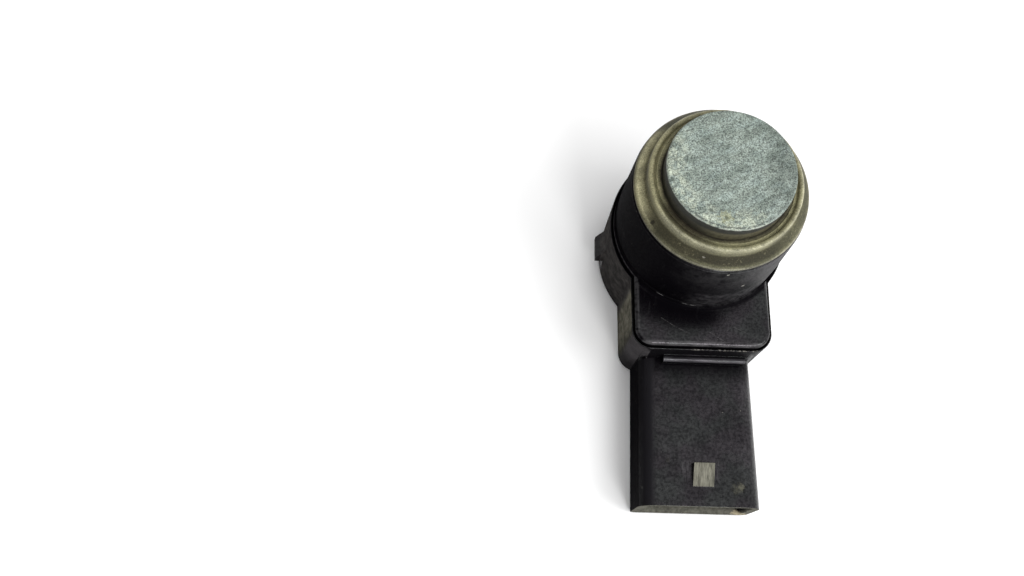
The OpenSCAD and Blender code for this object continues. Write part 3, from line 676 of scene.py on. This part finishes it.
def ring_dirt_and_shade(t, r, cloud):
    """Dirt at the collar's foot, a painted shadow on the lip's side, dirt in its hollow at the front, and
    dirt with painted shade at the lower left.
    """
    foot = t.times(t.window(t.z, BARREL_Z + 2.6, BARREL_Z + 1.9), t.window(r, 9.7, 9.45))
    t.cover(foot, 0.55, COLLAR_FOOT_DIRT)
    # Painted shadow on the lip's side, next to the barrel's rim
    t.cover(t.window(t.z, BARREL_Z + 0.45, BARREL_Z + 0.25), 0.9, LIP_SIDE_SHADE)
    patchy = t.window(cloud, 0.3, 0.6, 0.6, 1.0)
    t.cover(t.times(t.band(r, 9.6, 10.25, 0.25), t.towards(257, 0.35, 0.8), patchy), 0.85, HOLLOW_DIRT)
    # Dirt and painted shade at the lower left
    darker_lower_left = t.times(t.towards(226, 0.84, 0.97), t.window(cloud, 0.25, 0.55, 0.6, 1.0))
    off_crest = t.largest(t.window(r, 9.2, 9.02), t.window(r, 9.45, 9.6, 0.0, 0.65))
    t.cover(t.times(darker_lower_left, off_crest, t.window(r, 8.0, 8.3)), 0.75, LOW_LEFT_DIRT_AND_SHADE)


def gap_dirt_and_shade(t, r, sand):
    """Black-brown dirt between the collar and the cup, thickest at the lower left, with painted shade in the
    black next to the cup.
    """
    brown = t.times(t.window(r, 8.95, 8.55), t.towards(226, 0.9, 0.98), t.window(sand, 0.3, 0.6, 1.0, 0.55))
    t.cover(brown, 0.7, GAP_BROWN)
    # Black dirt and painted shade next to the cup
    black = t.times(t.window(r, 8.2, 7.9), t.math("MULTIPLY_ADD", t.towards(238, 0.6, 0.95), 0.4, 0.15))
    t.colour = t.mix(black, t.colour, GAP_DIRT_AND_SHADE)


def aged_silicone():
    t = Skin("silicone_aged_dirty")
    cloud = t.noise(2.4, detail=5, roughness=0.65)
    sand = t.noise(0.28, roughness=0.7)

    # The bands of colour around the ring wander a little in and out
    r = t.math("ADD", t.r, t.math("MULTIPLY_ADD", t.noise(1.2), 0.14, -0.07))
    # Front and left bands, which include painted highlights and shade
    front = t.ramp(r, *RING_SPAN, RING_FRONT_TONES_AND_LIGHT)
    t.colour = t.mix(t.towards(174, 0.7, 0.92), front, t.ramp(r, *RING_SPAN, RING_LEFT_TONES_AND_LIGHT))

    ring_dirt_and_shade(t, r, cloud)
    t.colour = t.shade(t.colour, t.window(cloud, 0.3, 0.7, 0.65, 1.25))
    t.colour = t.shade(t.colour, t.window(t.noise(0.15, roughness=0.7), 0.34, 0.66, 0.72, 1.3))
    t.cover(t.times(t.window(sand, 0.56, 0.68), t.window(t.noise(3.0), 0.42, 0.6)), 0.4, SAND_GRAIN)
    t.cover(t.times(t.window(sand, 0.44, 0.3), t.window(cloud, 0.62, 0.4)), 0.6, SOIL)
    gap_dirt_and_shade(t, r, sand)
    for at, size, share, tint in LIP_CRUMBS:
        t.cover(t.spot(at, size, sand), share, tint)
    roughness = t.window(cloud, 0.3, 0.7, 0.5, 0.66)
    return t.finish(t.colour, roughness, t.bump(sand, 0.03, 0.5, t.bump(cloud, 0.08, 0.3)), specular=0.16)


def plain_piece(slot):
    """Inner piece in its record colour, with a little variation."""
    look = next(m for m in frame["record"]["materials"] if m["slot"] == slot)
    base = tuple(look["base_color"][:3])
    darker = tuple(0.8 * c for c in base)
    metallic = 0.9 if look["class"] in ("brass", "brushed_steel") else 0.0
    t = Tree(slot + "_piece")
    return t.finish(t.mix(t.noise(0.8), darker, base), 0.45, t.bump(t.noise(0.1), 0.01, 0.3), metallic)


def smooth_copy(node, material):
    """Piece with a CAD node's shape, joined and smoothly shaded, that stands for the node."""
    mesh = frame["nodes"][node].data.copy()
    work = bmesh.new()
    work.from_mesh(mesh)
    bmesh.ops.remove_doubles(work, verts=work.verts, dist=JOIN_WITHIN)
    bmesh.ops.dissolve_limit(work, angle_limit=FLAT_WITHIN, verts=work.verts, edges=work.edges)
    work.to_mesh(mesh)
    work.free()
    mesh.shade_smooth()
    mesh.set_sharp_from_angle(angle=math.radians(SMOOTH_DEGREES[node]))
    mesh.materials.clear()
    mesh.materials.append(material)
    piece = bpy.data.objects.new(node + "_piece", mesh)
    bpy.context.collection.objects.link(piece)
    weighted = piece.modifiers.new("flat_faces_stay_flat", "WEIGHTED_NORMAL")
    weighted.keep_sharp = True
    weighted.weight = 100
    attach(piece, "root")
    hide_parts(node)


def make_floor():
    h = FLOOR_HALF
    mesh = bpy.data.meshes.new("floor")
    mesh.from_pydata([(-h, -h, 0), (h, -h, 0), (h, h, 0), (-h, h, 0)], [], [(0, 1, 2, 3)])
    t = Tree("floor_pale")
    mesh.materials.append(t.finish(t.mix(t.noise(60), FLOOR_DULL, FLOOR_BRIGHT), 0.8))
    floor = bpy.data.objects.new("floor", mesh)
    floor.location.z = cad_box[0][2] - FLOOR_GAP
    bpy.context.collection.objects.link(floor)


def area_light(name, at_mm, size_mm, watts):
    light = bpy.data.lights.new(name, "AREA")
    light.size = size_mm * MM
    light.energy = watts
    lamp = bpy.data.objects.new(name, light)
    lamp.location = Vector(at_mm) * MM
    lamp.rotation_euler = (Vector(LAMP_AIM) - Vector(at_mm)).to_track_quat("-Z", "Y").to_euler()
    bpy.context.collection.objects.link(lamp)


def make_sky():
    """Soft dome that is bright overhead and dark at the left, and that the camera sees as plain white."""
    world = bpy.data.worlds.new("studio")
    world.use_nodes = True
    nodes, links = world.node_tree.nodes, world.node_tree.links
    slope = nodes.new("ShaderNodeVectorMath")
    slope.operation = "DOT_PRODUCT"
    slope.inputs[1].default_value = SKY_SIDE
    links.new(nodes.new("ShaderNodeTexCoord").outputs["Generated"], slope.inputs[0])
    scale = nodes.new("ShaderNodeMapRange")
    scale.interpolation_type = "SMOOTHSTEP"
    for key, value in SKY_RANGE.items():
        scale.inputs[key].default_value = value
    links.new(slope.outputs["Value"], scale.inputs["Value"])
    seen = nodes.new("ShaderNodeMix")
    links.new(nodes.new("ShaderNodeLightPath").outputs["Is Camera Ray"], seen.inputs["Factor"])
    links.new(scale.outputs[0], seen.inputs["A"])
    seen.inputs["B"].default_value = BACKDROP
    background = nodes["Background"]
    background.inputs["Color"].default_value = (1, 1, 1, 1)
    links.new(seen.outputs["Result"], background.inputs["Strength"])
    bpy.context.scene.world = world


def make_camera():
    forward = (CAMERA_AIM - CAMERA_AT).normalized()
    level = forward.cross(Vector((0, 0, 1))).normalized()
    rise = level.cross(forward)
    right = level * math.cos(CAMERA_ROLL) + rise * math.sin(CAMERA_ROLL)
    up = right.cross(forward)
    lens = bpy.data.cameras.new("camera")
    lens.lens = LENS_MM
    lens.sensor_width = SENSOR_MM
    lens.clip_start = NEAREST_SEEN
    camera = bpy.data.objects.new("camera", lens)
    camera.matrix_world = Matrix.Translation(CAMERA_AT) @ Matrix((right, up, -forward)).transposed().to_4x4()
    bpy.context.collection.objects.link(camera)
    bpy.context.scene.camera = camera


# The four pieces that show, each as a smooth copy with its own material
shown = {
    "front_housing": front_plastic(),
    "rear_housing": rear_plastic(),
    "transducer_cup": membrane_coat(),
    "decoupling_ring": aged_silicone(),
}
for node, material in shown.items():
    smooth_copy(node, material)

# The inner pieces, in the colours of the record
inner_looks = {}
for node, slot in slots.items():
    if node not in shown:
        if slot not in inner_looks:
            inner_looks[slot] = plain_piece(slot)
        cad_mesh = frame["nodes"][node].data
        cad_mesh.materials.clear()
        cad_mesh.materials.append(inner_looks[slot])

make_floor()
make_camera()
make_sky()
for name, (at_mm, size_mm, watts) in LAMPS.items():
    area_light(name, at_mm, size_mm, watts)
bpy.context.scene.view_settings.view_transform = "Standard"
